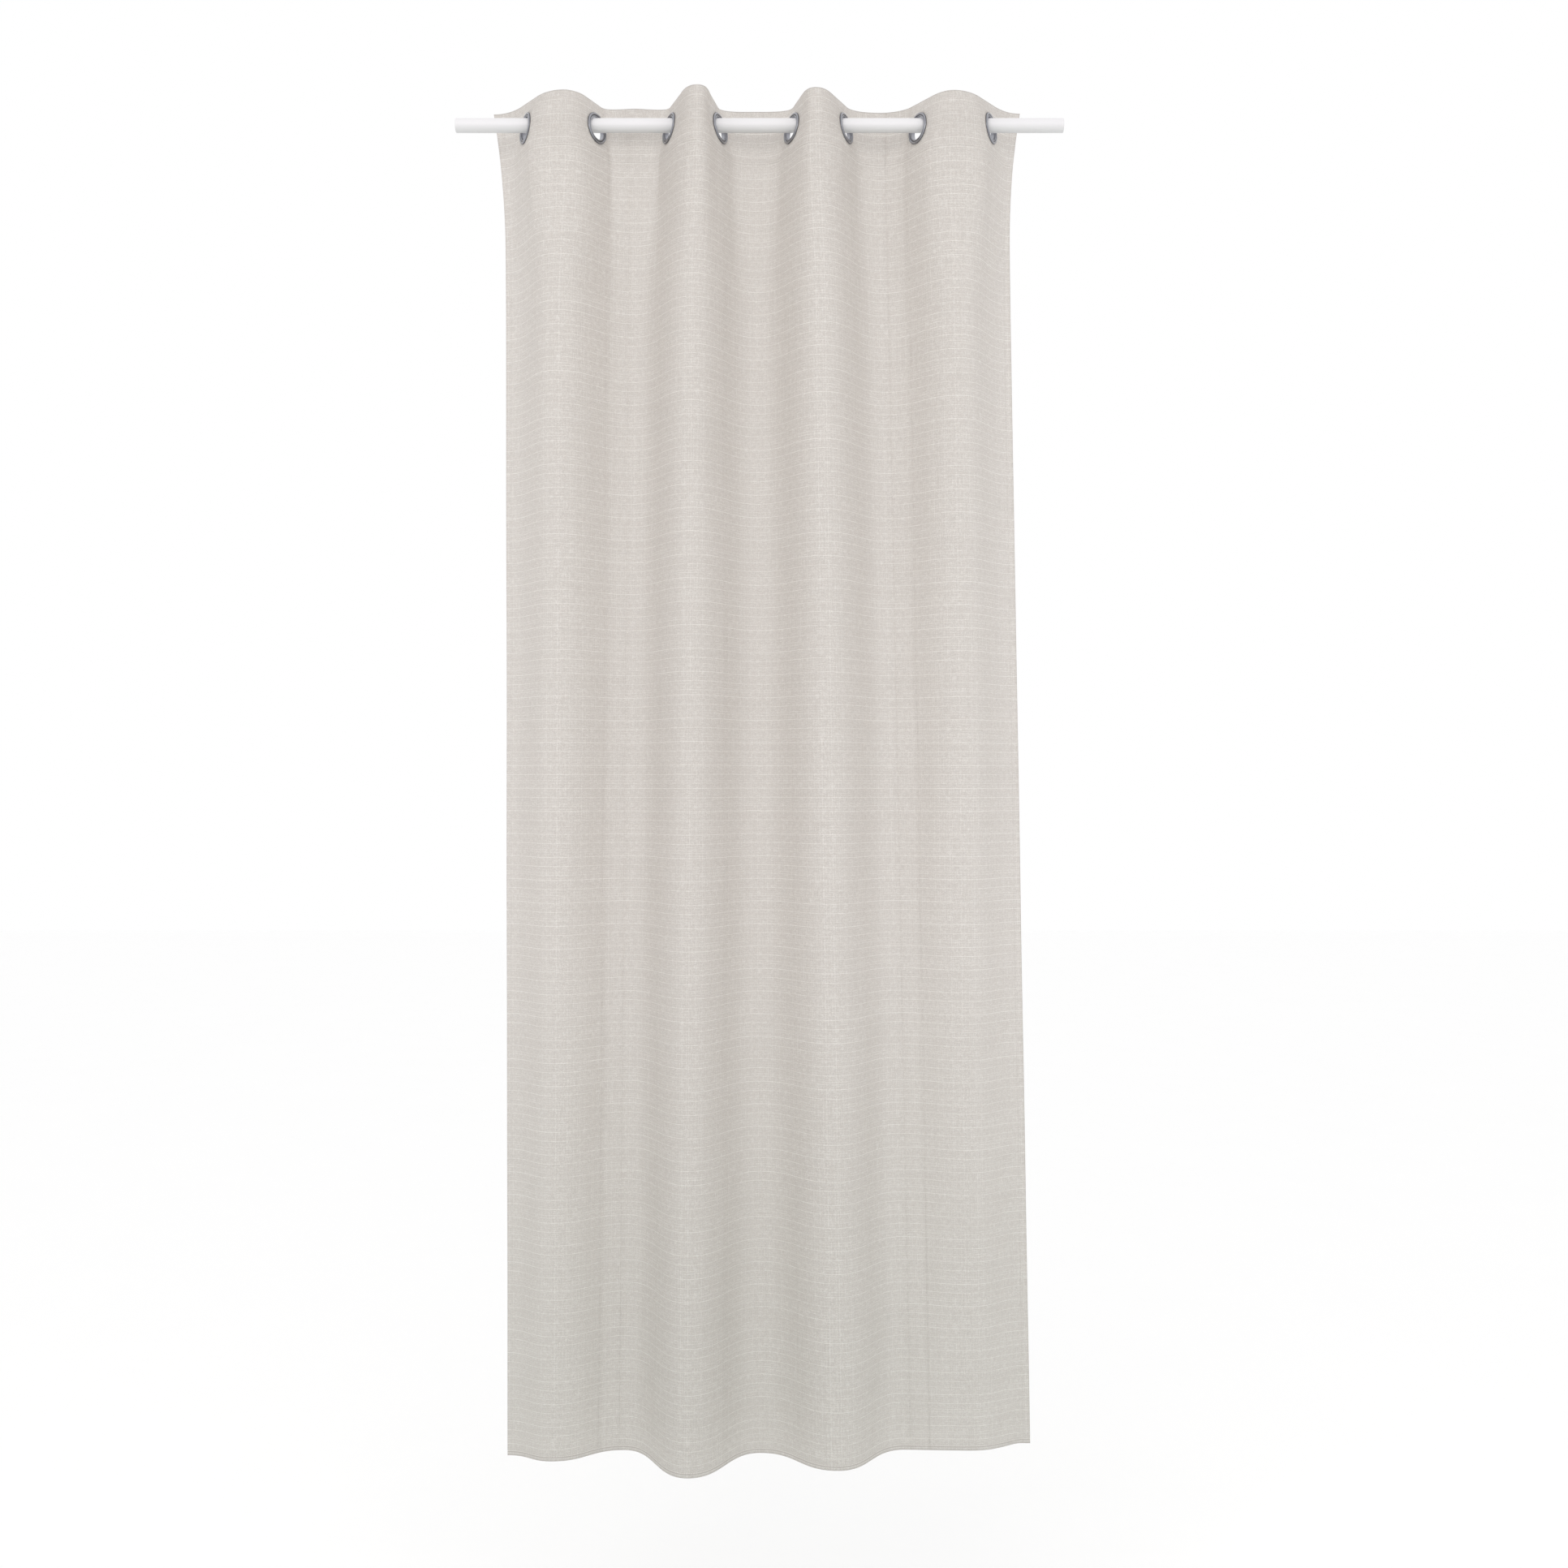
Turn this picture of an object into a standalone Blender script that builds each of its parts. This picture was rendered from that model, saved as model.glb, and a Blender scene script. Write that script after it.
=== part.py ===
"""An eyelet curtain panel hanging in soft folds on a round rod, in metres.

The origin is on the rod's axis at its middle, X runs along the rod, the room is at -Y and Z is up. The panel is
one cloth. It is modelled as vertical strips that meet at the folds, so that each flank of a fold can turn. Depth
means the distance from the rod's axis towards the room.
"""

import math

import bmesh
import bpy
from mathutils import Matrix, Vector

MM = 0.001

# The rod, a solid bar with square ends.
ROD_DIAMETER = 0.025
ROD_LENGTH = 1.070
ROD_EDGE = 0.8 * MM
ROD_SIDES = 40

# The panel, as it hangs.
TOP = 0.042
HEM = -2.357
HEADER_BAND = 0.093
CLOTH = 1.1 * MM
TAPE = 1.0 * MM
LAYER_GAP = 0.3 * MM

# The eyelets: their places along the rod, the turn of each from the rod's direction, and how far each leans
# towards its front fold per unit of height.
EYELET_X = (-0.411, -0.288, -0.158, -0.071, 0.058, 0.151, 0.280, 0.406)
EYELET_TURN = (65, 61, 66, 67, 64, 66, 61, 65)
EYELET_LEAN = (0.12, -0.12, 0.18, -0.18, 0.18, -0.18, 0.12, -0.12)
EYELET_Z = -0.0055
EYELET_OUTER_RADIUS = 27.5 * MM
EYELET_BORE_RADIUS = 20.0 * MM
COLLAR_RADIUS = 21.4 * MM
BACK_RING_RADIUS = 21.8 * MM
CLOTH_HOLE_RADIUS = 22.2 * MM
EYELET_SIDES = 24
FLAT_HALF = 30.0 * MM

# The folds, from the left edge to the right edge. Depth and place along the rod at the header and at the hem.
HEADER_DEPTH = (-0.072, 0.059, -0.045, 0.078, -0.050, 0.070, -0.054, 0.055, -0.068)
HEM_DEPTH = (-0.040, -0.010, -0.064, 0.068, -0.050, 0.034, -0.067, -0.062, -0.098)
LEFT_EDGE_X = -0.458
RIGHT_EDGE_X = 0.446
HEM_X = (-0.450, -0.368, -0.243, -0.124, 0.001, 0.138, 0.262, 0.380, 0.490)

# The side edges spread outwards by this much from FLARE_LOW up to the top corners.
LEFT_FLARE = -0.016
RIGHT_FLARE = 0.020
FLARE_LOW = -0.20

# Where the strips end. The cloth under eyelets 2 and 7 stays with the outer folds. Each gap is given at the
# header, with how much it opens down to the hem. The slit is before the right fold, where the cloth hangs behind
# its hinge and needs room to turn.
OUTER_EYELETS = (2, 7)
NO_GAP = (0.0, 0.0)
STILL_GAP = (0.2 * MM, 0.0)
MOVING_GAP = (0.8 * MM, 0.0)
SLIT = (0.8 * MM, 24 * MM)

HEADER_LOW = -0.052
RELAXED = -0.32
LEVELS = (TOP, -0.005, HEADER_LOW, -0.12, -0.20, RELAXED, -0.75, -1.25, -1.80, HEM)
CURVE_STEPS = 4
STRAIGHT_STEPS = 2
ROUNDNESS = 1.45


def clear_scene():
    for obj in list(bpy.data.objects):
        bpy.data.objects.remove(obj, do_unlink=True)


def new_collection(name, hidden=False):
    collection = bpy.data.collections.new(name)
    collection.hide_render = hidden
    bpy.context.scene.collection.children.link(collection)
    return collection


def material(name, colour, roughness, metallic=0.0):
    made = bpy.data.materials.new(name)
    made.use_nodes = True
    shader = made.node_tree.nodes["Principled BSDF"]
    shader.inputs["Base Color"].default_value = (*colour, 1.0)
    shader.inputs["Roughness"].default_value = roughness
    shader.inputs["Metallic"].default_value = metallic
    made.diffuse_color = (*colour, 1.0)
    return made


def add_object(name, mesh, collection, finish):
    obj = bpy.data.objects.new(name, mesh)
    if not mesh.materials:
        mesh.materials.append(finish)
    collection.objects.link(obj)
    return obj


def smoothstep(value):
    clipped = min(max(value, 0.0), 1.0)
    return clipped * clipped * (3.0 - 2.0 * clipped)


def hermite(start, end, start_slope, end_slope, t):
    squared, cubed = t * t, t * t * t
    return (
        start * (2 * cubed - 3 * squared + 1)
        + start_slope * (cubed - 2 * squared + t)
        + end * (3 * squared - 2 * cubed)
        + end_slope * (cubed - squared)
    )


def eyelet_centre(number):
    return Vector((EYELET_X[number - 1], 0.0, EYELET_Z))


def flank_direction(number):
    """Along the cloth through this eyelet, seen from above. Odd flanks run forward, even ones back."""
    turn = math.radians(EYELET_TURN[number - 1])
    return Vector((math.cos(turn), -math.sin(turn) if number % 2 else math.sin(turn)))


def eyelet_frame(number):
    """The eyelet's own axes and centre: its Z is the cloth's front side."""
    along = flank_direction(number).to_3d()
    up = Vector((EYELET_LEAN[number - 1], 0.0, 1.0))
    front = along.cross(up).normalized()
    across = up.cross(front).normalized()
    turned = Matrix((across, front.cross(across), front)).transposed().to_4x4()
    return Matrix.Translation(eyelet_centre(number)) @ turned


def header_x(fold):
    """The hinge line of a fold is midway between its two eyelets."""
    if fold == 0:
        return LEFT_EDGE_X
    if fold == len(EYELET_X):
        return RIGHT_EDGE_X
    return (EYELET_X[fold - 1] + EYELET_X[fold]) / 2


def edge_flare(fold):
    if fold == 0:
        return LEFT_FLARE
    return RIGHT_FLARE if fold == len(EYELET_X) else 0.0


def crest(fold, z):
    """The fold's turning point at this height, seen from above."""
    share = max(0.0, (HEADER_LOW - z) / (HEADER_LOW - HEM))
    x = header_x(fold) * (1 - share) + HEM_X[fold] * share
    x += edge_flare(fold) * max(0.0, (z - FLARE_LOW) / (TOP - FLARE_LOW)) ** 2
    depth = HEADER_DEPTH[fold] * (1 - share) + HEM_DEPTH[fold] * share
    return Vector((x, -depth))


def taut_flank(number, z, t):
    """The flank at the header: flat under the eyelet, and curved from there to the folds."""
    direction = flank_direction(number)
    lean = EYELET_LEAN[number - 1] * (max(z, HEADER_LOW) - EYELET_Z)
    middle = eyelet_centre(number).to_2d() + Vector((lean, 0.0))
    ends = (middle - direction * FLAT_HALF, middle + direction * FLAT_HALF)
    along_rod = Vector((1.0, 0.0))
    if t <= 1 / 3:
        start = crest(number - 1, z)
        reach = (ends[0] - start).length
        return hermite(start, ends[0], along_rod * reach, direction * reach, 3 * t)
    if t >= 2 / 3:
        end = crest(number, z)
        reach = (end - ends[1]).length
        return hermite(ends[1], end, direction * reach, along_rod * reach, 3 * t - 2)
    return ends[0].lerp(ends[1], 3 * t - 1)


def slack_flank(number, z, t):
    """The flank lower down: one even curve from fold to fold."""
    start, end = crest(number - 1, z), crest(number, z)
    slope = Vector(((end.x - start.x) * ROUNDNESS, 0.0))
    return hermite(start, end, slope, slope, t)


def flank_point(number, z, t):
    taut = 1.0 - smoothstep((HEADER_LOW - z) / (HEADER_LOW - RELAXED))
    return slack_flank(number, z, t).lerp(taut_flank(number, z, t), taut)


def front_normal(number, z, t):
    step = 0.01
    before = flank_point(number, z, max(t - step, 0.0))
    after = flank_point(number, z, min(t + step, 1.0))
    along = (after - before).normalized()
    return Vector((along.y, -along.x))


def flank_steps(first, last):
    """The places along a flank where the strip has a column of points."""
    shares = [step / (3 * CURVE_STEPS) for step in range(CURVE_STEPS)]
    shares += [(1 + step / STRAIGHT_STEPS) / 3 for step in range(STRAIGHT_STEPS)]
    shares += [(2 + step / CURVE_STEPS) / 3 for step in range(CURVE_STEPS + 1)]
    return [first] + [t for t in shares if first < t < last] + [last]


def gap_share(number, z, t, gap):
    """The gap at this height as a share of the flank's length."""
    opened = max(0.0, (HEADER_LOW - z) / (HEADER_LOW - HEM))
    before, after = max(t - 0.01, 0.0), min(t + 0.01, 1.0)
    chord = (flank_point(number, z, after) - flank_point(number, z, before)).length
    return (gap[0] + gap[1] * opened) * (after - before) / chord


def strip_columns(number, ends, gaps, z):
    """The strip's columns at this height, drawn in evenly from the gaps at its ends."""
    low = ends[0] + gap_share(number, z, ends[0], gaps[0])
    high = ends[1] - gap_share(number, z, ends[1], gaps[1])
    scale = (high - low) / (ends[1] - ends[0])
    return [low + (step - ends[0]) * scale for step in flank_steps(*ends)]


def strip_surface(name, number, ends, gaps, levels, offset):
    """An open sheet along one flank, shifted towards the front by offset and cut short by the gaps."""
    made = bmesh.new()
    rows = []
    for z in levels:
        row = []
        for t in strip_columns(number, ends, gaps, z):
            point = flank_point(number, z, t) + front_normal(number, z, t) * offset
            row.append(made.verts.new((point.x, point.y, z)))
        rows.append(row)
    for above, below in zip(rows, rows[1:]):
        for left in range(len(above) - 1):
            made.faces.new((above[left], below[left], below[left + 1], above[left + 1]))
    mesh = bpy.data.meshes.new(name)
    made.to_mesh(mesh)
    made.free()
    mesh.shade_smooth()
    return mesh


def thicken(obj, thickness, side):
    solidify = obj.modifiers.new("thickness", "SOLIDIFY")
    solidify.thickness = thickness
    solidify.offset = side
    solidify.use_even_offset = True


def cut_hole(obj, cutter):
    cut = obj.modifiers.new(cutter.name, "BOOLEAN")
    cut.operation = "DIFFERENCE"
    cut.solver = "EXACT"
    cut.object = cutter


def hole_cutter(number, collection):
    made = bmesh.new()
    bmesh.ops.create_cone(
        made,
        cap_ends=True,
        segments=EYELET_SIDES,
        radius1=CLOTH_HOLE_RADIUS,
        radius2=CLOTH_HOLE_RADIUS,
        depth=12 * MM,
    )
    mesh = bpy.data.meshes.new(f"eyelet_hole_{number}")
    made.to_mesh(mesh)
    made.free()
    cutter = bpy.data.objects.new(mesh.name, mesh)
    cutter.matrix_world = eyelet_frame(number)
    cutter.hide_render = True
    cutter.display_type = "WIRE"
    collection.objects.link(cutter)
    return cutter


def panel_strips():
    """Each strip as its flank and eyelet number, its ends along the flank, and the gap left at each end."""
    count = len(EYELET_X)
    near, far = OUTER_EYELETS
    strips = []
    for number in range(1, count + 1):
        left = NO_GAP if number == 1 else (STILL_GAP if number in (near, count) else MOVING_GAP)
        right = NO_GAP if number == count else (STILL_GAP if number in (1, far) else MOVING_GAP)
        if number == near:
            strips.append((number, (0.0, 2 / 3), (left, MOVING_GAP)))
            strips.append((number, (2 / 3, 1.0), (MOVING_GAP, right)))
        elif number == far:
            strips.append((number, (0.0, 1 / 3), (left, SLIT)))
            strips.append((number, (1 / 3, 1.0), (MOVING_GAP, right)))
        else:
            strips.append((number, (0.0, 1.0), (left, right)))
    return strips


def build_panel(parts, cutters, cloth_finish, tape_finish):
    holes = {number: hole_cutter(number, cutters) for number in range(1, len(EYELET_X) + 1)}
    band = [z for z in LEVELS if z > HEADER_LOW] + [TOP - HEADER_BAND]
    for place, (number, ends, gaps) in enumerate(panel_strips(), start=1):
        holds_eyelet = ends[0] < 0.5 < ends[1]
        surface = strip_surface(f"cloth_{place}", number, ends, gaps, LEVELS, LAYER_GAP / 2)
        cloth = add_object(f"cloth_{place}", surface, parts, cloth_finish)
        thicken(cloth, CLOTH, 1.0)
        surface = strip_surface(f"header_tape_{place}", number, ends, gaps, band, -LAYER_GAP / 2)
        tape = add_object(f"header_tape_{place}", surface, parts, tape_finish)
        thicken(tape, TAPE, -1.0)
        if holds_eyelet:
            cut_hole(cloth, holes[number])
            cut_hole(tape, holes[number])


def turned_mesh(name, profile):
    """A closed profile, in radius and height, that a Screw modifier turns round Z."""
    made = bmesh.new()
    points = [made.verts.new((radius, 0.0, height)) for radius, height in profile]
    for first, second in zip(points, points[1:] + points[:1]):
        made.edges.new((first, second))
    mesh = bpy.data.meshes.new(name)
    made.to_mesh(mesh)
    made.free()
    return mesh


def turn(obj, sides):
    screw = obj.modifiers.new("turn", "SCREW")
    screw.axis = "Z"
    screw.angle = math.tau
    screw.steps = sides
    screw.render_steps = sides
    screw.use_merge_vertices = True
    screw.merge_threshold = 0.01 * MM


def eyelet_profiles():
    """The front ring with its collar, and the back ring that it is pressed into."""
    front_face = LAYER_GAP / 2 + CLOTH + LAYER_GAP
    back_face = -(LAYER_GAP / 2 + TAPE + LAYER_GAP)
    outer, bore = EYELET_OUTER_RADIUS, EYELET_BORE_RADIUS
    front = (
        (outer - 3.2 * MM, front_face + 2.3 * MM),
        (outer - 1.2 * MM, front_face + 2.0 * MM),
        (outer, front_face + 0.8 * MM),
        (outer, front_face),
        (COLLAR_RADIUS, front_face),
        (COLLAR_RADIUS, back_face - 1.3 * MM),
        (bore, back_face - 1.3 * MM),
        (bore, front_face + 1.0 * MM),
        (bore + 0.9 * MM, front_face + 1.6 * MM),
        (bore + 2.6 * MM, front_face + 1.1 * MM),
    )
    back = (
        (outer - 1.0 * MM, back_face),
        (outer, back_face - 0.5 * MM),
        (outer - 1.2 * MM, back_face - 1.4 * MM),
        (BACK_RING_RADIUS + 0.5 * MM, back_face - 1.4 * MM),
        (BACK_RING_RADIUS, back_face - 0.9 * MM),
        (BACK_RING_RADIUS, back_face),
    )
    return front, back


def build_eyelets(parts, finish):
    for side, profile in zip(("front", "back"), eyelet_profiles()):
        mesh = turned_mesh(f"eyelet_{side}", profile)
        for number in range(1, len(EYELET_X) + 1):
            ring = add_object(f"eyelet_{number}_{side}", mesh, parts, finish)
            ring.matrix_world = eyelet_frame(number)
            turn(ring, EYELET_SIDES)


def build_rod(parts, finish):
    made = bmesh.new()
    bmesh.ops.create_cone(
        made,
        cap_ends=True,
        segments=ROD_SIDES,
        radius1=ROD_DIAMETER / 2,
        radius2=ROD_DIAMETER / 2,
        depth=ROD_LENGTH,
    )
    mesh = bpy.data.meshes.new("rod")
    made.to_mesh(mesh)
    made.free()
    mesh.shade_smooth()
    mesh.set_sharp_from_angle(angle=math.radians(40))
    rod = add_object("rod", mesh, parts, finish)
    rod.rotation_euler = (0.0, math.pi / 2, 0.0)
    bevel = rod.modifiers.new("end_edges", "BEVEL")
    bevel.width = ROD_EDGE
    bevel.segments = 1
    bevel.limit_method = "ANGLE"
    bevel.angle_limit = math.radians(40)


def main():
    clear_scene()
    parts = new_collection("eyelet_curtain_on_rod")
    cutters = new_collection("cutters", hidden=True)
    white_paint = material("white_paint", (0.84, 0.84, 0.83), 0.35)
    linen = material("linen", (0.66, 0.62, 0.57), 0.9)
    stiffener = material("header_stiffener", (0.78, 0.76, 0.72), 0.9)
    satin_metal = material("satin_metal", (0.62, 0.61, 0.63), 0.3, 1.0)
    build_rod(parts, white_paint)
    build_panel(parts, cutters, linen, stiffener)
    build_eyelets(parts, satin_metal)


main()
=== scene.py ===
"""Looks of the eyelet curtain: a woven cloth in soft folds, its metal eyelets, its stitching and the rod."""
import math

import bpy
import numpy as np
from mathutils import Matrix, Vector


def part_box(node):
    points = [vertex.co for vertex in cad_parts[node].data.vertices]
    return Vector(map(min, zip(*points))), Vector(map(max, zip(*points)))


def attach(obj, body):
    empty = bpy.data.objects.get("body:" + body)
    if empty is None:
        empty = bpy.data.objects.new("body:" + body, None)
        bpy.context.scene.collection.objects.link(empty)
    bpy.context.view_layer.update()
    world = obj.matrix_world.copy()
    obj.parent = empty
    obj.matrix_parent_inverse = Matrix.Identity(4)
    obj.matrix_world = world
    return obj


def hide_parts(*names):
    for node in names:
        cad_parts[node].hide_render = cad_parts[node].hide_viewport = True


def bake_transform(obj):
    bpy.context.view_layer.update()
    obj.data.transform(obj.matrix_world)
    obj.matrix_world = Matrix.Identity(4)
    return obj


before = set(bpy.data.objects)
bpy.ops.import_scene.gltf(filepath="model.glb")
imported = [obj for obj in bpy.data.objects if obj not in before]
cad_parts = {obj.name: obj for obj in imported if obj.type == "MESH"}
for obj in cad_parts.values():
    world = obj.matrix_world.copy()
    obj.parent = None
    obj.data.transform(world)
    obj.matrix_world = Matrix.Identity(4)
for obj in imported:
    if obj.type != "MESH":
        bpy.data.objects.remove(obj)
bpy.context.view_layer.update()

MM = 0.001

# The panel as it hangs, in the frame's own places: each eyelet's place along the rod, its flank's turn in
# degrees and its lean, then each fold's depth at the header and at the hem and its place at the hem.
EYELET_X = (-0.411, -0.288, -0.158, -0.071, 0.058, 0.151, 0.280, 0.406)
EYELET_TURN = (65, 61, 66, 67, 64, 66, 61, 65)
EYELET_LEAN = (0.12, -0.12, 0.18, -0.18, 0.18, -0.18, 0.12, -0.12)
EYELET_Z = -0.0055
FLAT_HALF = 30 * MM
HEADER_DEPTH = (-0.072, 0.059, -0.045, 0.078, -0.050, 0.070, -0.054, 0.055, -0.068)
HEM_DEPTH = (-0.040, -0.010, -0.064, 0.068, -0.050, 0.034, -0.067, -0.062, -0.098)
HEM_X = (-0.450, -0.368, -0.243, -0.124, 0.001, 0.138, 0.262, 0.380, 0.490)
LEFT_EDGE_X = -0.458
RIGHT_EDGE_X = 0.446

# The side edges spread at the top, above FLARE_LOW. The flanks are held flat by the eyelets above HEADER_LOW,
# and hang free below RELAXED.
LEFT_FLARE = -0.020
RIGHT_FLARE = 0.020
FLARE_LOW = -0.20
HEADER_LOW = -0.052
RELAXED = -0.32
ROUNDNESS = 1.45

# How the header's top edge differs from the folds below it: each fold's shift along the rod and in depth, and
# each flank's extra turn above its eyelet.
CREST_SHIFT_X = (0.0, 0.0105, 0.0, 0.0085, 0.0, -0.0070, 0.0, -0.0060, 0.0)
CREST_SHIFT_DEPTH = (0.010, -0.003, 0.011, 0.001, 0.001, -0.003, 0.0, -0.001, 0.010)
TOP_TWIST = (-10, 6, 5, 13, 12, 0, -3, -10)
TWIST_START = 19 * MM

# The cloth: its size, its layers and where it is stitched.
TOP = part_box("cloth_1")[1][2]
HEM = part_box("cloth_1")[0][2]
DROP = TOP - HEM
FLAT_WIDTH = 1.40
HEADER_BAND = 93 * MM
TOP_STITCH = 6 * MM
BOTTOM_HEM = 8 * MM
SIDE_HEM = 14 * MM
HALF_CLOTH = 0.55 * MM
HALF_HEADER = 1.15 * MM
HOLE_RADIUS = 23.6 * MM
HOLE_SEARCH = 22.4 * MM
HEM_FRONT = 0.25 * MM
HEM_BACK = 0.7 * MM
TURNED_EDGE = 3 * MM
EDGE_ROUNDING = 2.5 * MM
EDGE_THINNEST = 0.45
PINCH_DEPTH = 0.5 * MM
PINCH_WIDTH = 1.6 * MM

# The grid of the cloth: its columns in each third of a flank, its rows, and the closer rows in millimetres
# above the header's seam and above the hem.
CURVE_COLUMNS = 11
FLAT_COLUMNS = 18
HEADER_ROW = 3.3 * MM
BODY_ROW = 14 * MM
SEAM_LINES = (3.0, 1.5, 0.0, -1.5, -3.0)
HEM_LINES = (16.0, 11.0, 9.5, 8.0, 6.5, 4.5, 2.0, 0.0)

# Small uneven waves below the header, from so many to so many in a metre, and soft dents that slope up to the
# right edge.
WAVE_COUNT = 14
WAVES_ACROSS = (1.5, 6.0)
WAVES_ALONG = (0.3, 2.2)
WAVE_HEIGHT = 1.6 * MM
DENT_HEIGHT = 2.6 * MM
DENT_PITCH = 96 * MM
DENT_SLOPE = 0.45
DENT_START = 1.45
DENT_REACH = 0.12

# The eyelets' rings, and the angles from which an edge of a ring or of the rod is sharp.
RING_OUTER = 27.5 * MM
RING_BORE = 20.0 * MM
RING_COLLAR = 21.3 * MM
FRONT_FACE = 1.55 * MM
BACK_FACE = -1.45 * MM
COLLAR_END = -6.0 * MM
COLLAR_MOUTH = 20.9 * MM
LIP_RADIUS = 2.1 * MM
GROOVE_RADIUS = 0.9 * MM
COLLAR_LIP_RADIUS = 1.0 * MM
BACK_EDGE_RADIUS = 0.8 * MM
RING_SIDES = 72
RING_SHARP = math.radians(50)
ROD_SHARP = math.radians(35)

# The cloth's parts: each rides on one body, or lies between two across a span along the rod that leans with
# the folds and is left on neither body. The parts run between PART_ENDS, each a flank's number and the share
# along it.
CLOTH_PARTS = (
    ("left_fold", None, None, 0.0),
    ("left_fold", "flank_a", (-0.2725, -0.2340), -0.008),
    ("flank_a", "flank_b", (-0.2335, -0.1750), -0.008),
    ("flank_b", "flank_c", (-0.1458, -0.0830), 0.0),
    ("flank_c", "flank_d", (-0.0590, 0.0448), 0.0),
    ("flank_d", "flank_e", (0.0712, 0.1388), 0.012),
    ("flank_e", "flank_f", (0.1660, 0.2230), 0.014),
    ("flank_f", "right_fold", (0.2250, 0.2650), 0.012),
    ("right_fold", None, None, 0.0),
)
PART_ENDS = (
    (1, 0.0), (2, 2 / 3), (2, 0.94), (3, 0.5), (4, 0.5), (5, 0.5), (6, 0.5), (7, 0.06), (7, 1 / 3), (8, 1.0),
)

# The body that each eyelet rides on.
EYELET_BODIES = (
    "left_fold", "left_fold", "flank_b", "flank_c", "flank_d", "flank_e", "right_fold", "right_fold",
)

# The weave: the threads that stand out, each as its place in the repeat and its strength. In the weft two are
# thick and two less so, with finer ones between. Half a thread's width is a share of the repeat too.
WEFT_REPEAT = 40.3 * MM
WEFT_THREADS = (
    (0.04, 1.00), (0.11, 0.34), (0.18, 0.20), (0.25, 0.24), (0.32, 0.18), (0.38, 0.18), (0.44, 0.80),
    (0.51, 0.18), (0.57, 0.20), (0.63, 0.20), (0.70, 0.50), (0.76, 0.28), (0.82, 0.55), (0.89, 0.20),
    (0.96, 0.30),
)
WEFT_HALF = 0.025
WEFT_SWELL = (6.0, 24.0, 1.0)
WARP_REPEAT = 73 * MM
WARP_THREADS = (
    (0.03, 0.45), (0.09, 0.90), (0.13, 0.40), (0.20, 0.60), (0.26, 0.95), (0.31, 0.35), (0.40, 0.55),
    (0.47, 0.25), (0.55, 0.75), (0.60, 0.40), (0.70, 0.30), (0.78, 0.65), (0.84, 0.30), (0.93, 0.50),
)
WARP_HALF = 0.013
WARP_SWELL = (30.0, 5.0, 1.0)
THREAD_LEAST = 0.55
THREAD_WANDER = 2 * MM

# How strongly each layer of the weave shows between the cloth's darker and lighter colour.
WEFT_SHARE = 0.95
WARP_SHARE = 0.38
FINE_WEFT_SHARE = 0.24
FINE_WARP_SHARE = 0.20
GRAIN_SHARE = 1.9
CLOUD_SHARE = 0.10
FINE_SCALE = (90.0, 460.0, 1.0)
FINE_RANGE = (0.42, 0.66)
GRAIN_SCALE = 560.0
HEATHER_SCALE = 420.0
HEATHER_RANGE = (0.36, 0.64)
CLOUD_SCALE = 60.0
WEAVE_BUMP = 0.5 * MM

# Painted shade at the seams and edges, and the stitches: each seam's place and how dark its shade is, across
# and at the sides.
SEAM_HALF = 1.5 * MM
EDGE_HALF = 2.6 * MM
SIDE_HALF = 1.6 * MM
SEAM_ROWS = ((HEADER_BAND, 0.3), (DROP - BOTTOM_HEM, 1.0))
SIDE_LINES = ((0.0, 0.7), (SIDE_HEM, 0.2), (FLAT_WIDTH - SIDE_HEM, 0.2), (FLAT_WIDTH, 0.7))
STITCH_PITCH = 3.4 * MM
STITCH_HALF = 0.45 * MM
STITCH_SHARE = 0.74
SEAM_SHADE = 0.78
SEAM_MIX = 0.75
STITCH_MIX = 0.7

# Colours. The tints multiply: specks of greyer yarn, painted shade on the lower part of the cloth, and
# painted shade on the rod's underside.
CLOTH_BASE = (0.767, 0.735, 0.706)
CLOTH_LIGHT = (0.980, 0.961, 0.937)
HEATHER = (0.955, 0.962, 0.968, 1.0)
# Painted shade that darkens the cloth from its start height down to the hem.
HEM_PAINTED_SHADE = (0.925, 0.936, 0.928, 1.0)
HEM_SHADE_START = 1.3
ROD_BASE = (0.755, 0.742, 0.762, 1.0)
ROD_LIGHT = (0.795, 0.785, 0.800, 1.0)
# Painted shade on the rod's underside, between the two heights below.
ROD_PAINTED_SHADE = (0.86, 0.88, 0.86, 1.0)
ROD_SHADE_LOW = -12.5 * MM
ROD_SHADE_HIGH = 1.0 * MM
METAL_DARK = (0.31, 0.315, 0.345)
METAL_LIGHT = (0.41, 0.415, 0.450)
# Painted shade in the ring's groove and at its rim, as a share of the dark colour.
METAL_PAINTED_SHADE = 0.28
METAL_ROUGHNESS = 0.28
GROOVE_SHADE_AT = RING_BORE + 2.9 * MM
GROOVE_SHADE_HALF = 1.3 * MM
RIM_SHADE_HALF = 0.9 * MM
RIM_SHADE = 0.8
FLOOR_DARK = (0.985, 0.985, 0.985, 1.0)
FLOOR_LIGHT = (0.995, 0.995, 0.995, 1.0)
THROUGH_CLOTH = 0.62

# The camera looks straight along Y, at half the curtain's height.
CAMERA_PLACE = (0.043, -3.2, -1.16)
CAMERA_LENS = 41.7
CAMERA_SENSOR = 36.0
FLOOR_Z = HEM - 0.60
FLOOR_SIZE = 30.0

# The lamps: place, width and height, power and colour. Both point near the middle of the curtain.
LAMP_TARGET = (0.0, 0.0, -1.0)
KEY_LAMP = ((-0.25, -2.3, 0.60), (1.8, 1.0), 12.0, (1.0, 0.96, 0.92))
FILL_LAMP = ((1.5, -2.8, -0.4), (1.6, 2.2), 2.0, (0.92, 1.0, 0.98))


def smoothstep(value):
    clipped = np.clip(value, 0.0, 1.0)
    return clipped * clipped * (3.0 - 2.0 * clipped)


# The fold surface.


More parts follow.
